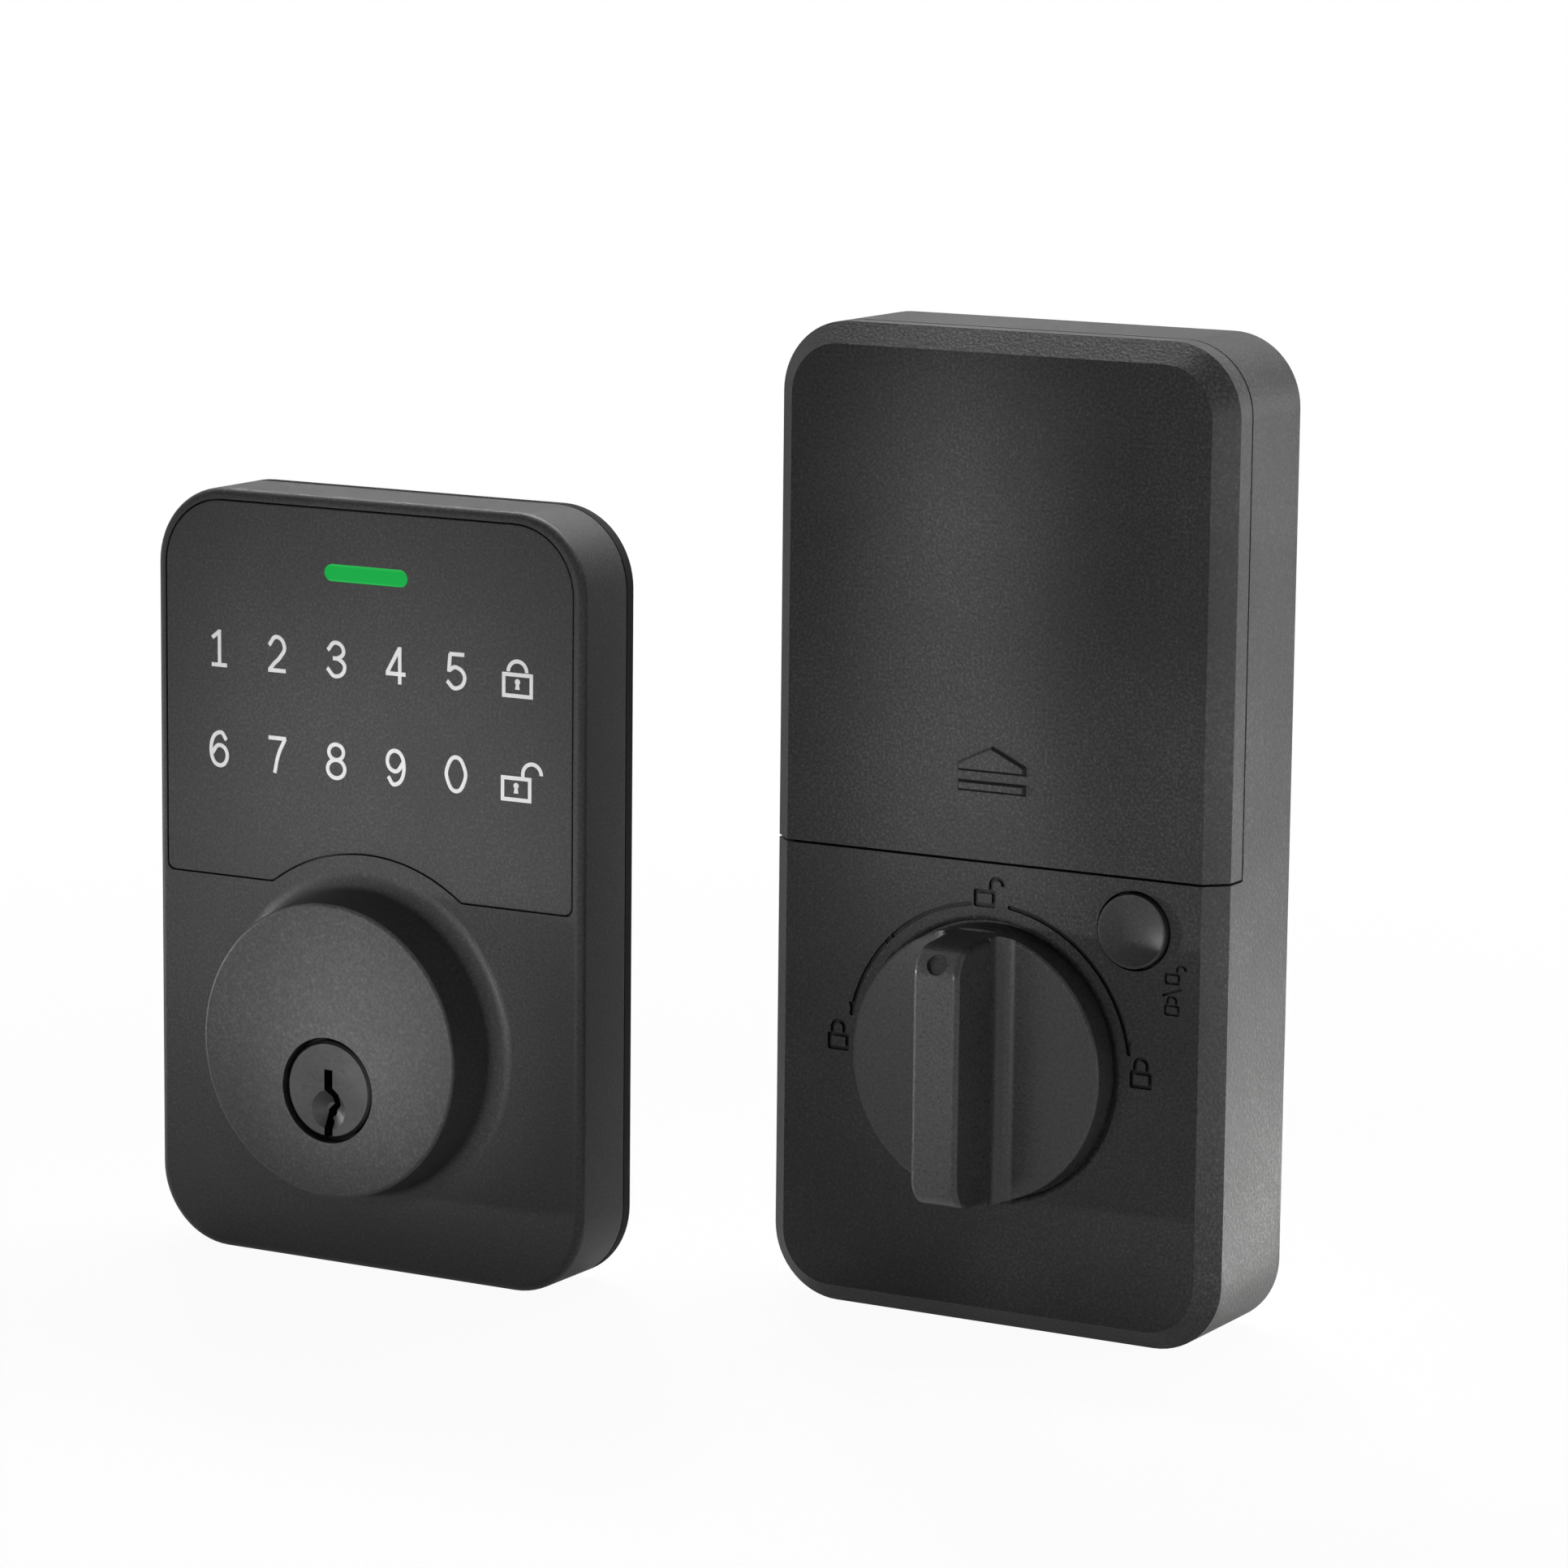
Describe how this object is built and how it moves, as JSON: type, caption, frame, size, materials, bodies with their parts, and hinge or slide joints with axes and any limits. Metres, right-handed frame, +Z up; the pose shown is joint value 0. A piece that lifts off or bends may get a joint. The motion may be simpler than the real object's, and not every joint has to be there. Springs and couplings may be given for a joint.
{
  "type": "keypad smart lock",
  "caption": "Two part black door lock: outside unit with touch keypad and key cylinder, inside unit with battery cover, thumbturn, motor drive and lock button.",
  "frame": {"origin": "on the floor under the middle of the pair's bounding box", "axes": "+Z up, fronts face -Y, +X from the outside unit to the inside unit"},
  "size_m": [0.1572, 0.0666, 0.1345],
  "materials": {
    "black_casting": "fine satin black paint",
    "panel_plastic": "satin black panel",
    "light_window": "green lit window",
    "board_laminate": "green solder mask",
    "chip_plastic": "black moulding",
    "socket_plastic": "ivory moulding",
    "brass": "machined",
    "plug_metal": "black plated",
    "steel": "zinc plated",
    "contact_metal": "nickel plated",
    "rubber": "matt black",
    "black_plastic": "fine textured black",
    "turn_metal": "fine textured black paint",
    "button_plastic": "satin black",
    "gear_plastic": "natural acetal",
    "cell_can": "wrapped steel can, grey"
  },
  "bodies": {
    "lock_case": {"back_plate": "steel", "back_plate_screws": "steel", "base_screw": "steel", "battery_cell_1": "cell_can", "battery_cell_2": "cell_can", "battery_cell_3": "cell_can", "battery_cell_4": "cell_can", "bolt_post_left": "steel", "bolt_post_right": "steel", "button_switch": "chip_plastic", "cable_grommet": "rubber", "chamber_cap": "brass", "control_board": "board_laminate", "control_board_screws": "steel", "control_chip": "chip_plastic", "control_socket": "socket_plastic", "cylinder_body": "brass", "cylinder_screws": "steel", "driver_pins": "brass", "gasket": "rubber", "gear_plate": "steel", "gear_plate_screws": "steel", "idler_axle": "steel", "inside_housing": "black_plastic", "keypad_board": "board_laminate", "keypad_board_screws": "steel", "keypad_buzzer": "chip_plastic", "keypad_chip": "chip_plastic", "keypad_light_chips": "chip_plastic", "keypad_panel": "panel_plastic", "keypad_socket": "socket_plastic", "led_window": "light_window", "lower_contacts": "contact_metal", "motor_can": "steel", "mounting_plate": "steel", "outside_housing": "black_casting", "pin_springs": "steel", "unit_screws": "steel", "upper_contacts": "contact_metal"},
    "thumbturn": {"thumbturn": "turn_metal", "spindle_hub": "steel", "hub_screw": "steel", "spindle_gear": "gear_plastic"},
    "idler": {"idler_gear": "gear_plastic"},
    "motor_rotor": {"motor_shaft": "steel", "motor_pinion": "brass"},
    "key_plug": {"key_plug": "plug_metal", "key_pins": "brass", "plug_clip": "steel", "tailpiece": "steel", "tail_pin": "steel"},
    "lock_button": {"lock_button": "button_plastic", "switch_plunger": "button_plastic"},
    "battery_cover": {"battery_cover": "black_plastic"}
  },
  "joints": [
    {"name": "thumbturn_turn", "type": "hinge", "parent": "lock_case", "child": "thumbturn", "pos_m": [0.0446, -0.00635, 0.03692], "axis": [0, 1, 0], "range_deg": [-90, 90]},
    {"name": "idler_turn", "type": "hinge", "parent": "lock_case", "child": "idler", "pos_m": [0.03155, -0.00635, 0.02387], "axis": [0, 1, 0], "range_deg": [-330, 330]},
    {"name": "motor_turn", "type": "hinge", "parent": "lock_case", "child": "motor_rotor", "pos_m": [0.04165, -0.00635, 0.0114], "axis": [0, 1, 0], "range_deg": [-980, 980]},
    {"name": "key_plug_turn", "type": "hinge", "parent": "lock_case", "child": "key_plug", "pos_m": [-0.0436, -0.02365, 0.0273], "axis": [0, 1, 0], "range_deg": [-90, 90]},
    {"name": "lock_button_press", "type": "slide", "parent": "lock_case", "child": "lock_button", "axis": [0, 1, 0], "range_m": [0, 0.0006], "stiffness_N_per_m": 2500},
    {"name": "battery_cover_slide", "type": "slide", "parent": "lock_case", "child": "battery_cover", "axis": [0, 0, 1], "range_m": [0, 0.075]}
  ],
  "couplings": [
    {"joint": "idler_turn", "follows": "thumbturn_turn", "ratio": -3.6},
    {"joint": "motor_turn", "follows": "thumbturn_turn", "ratio": 10.8}
  ]
}
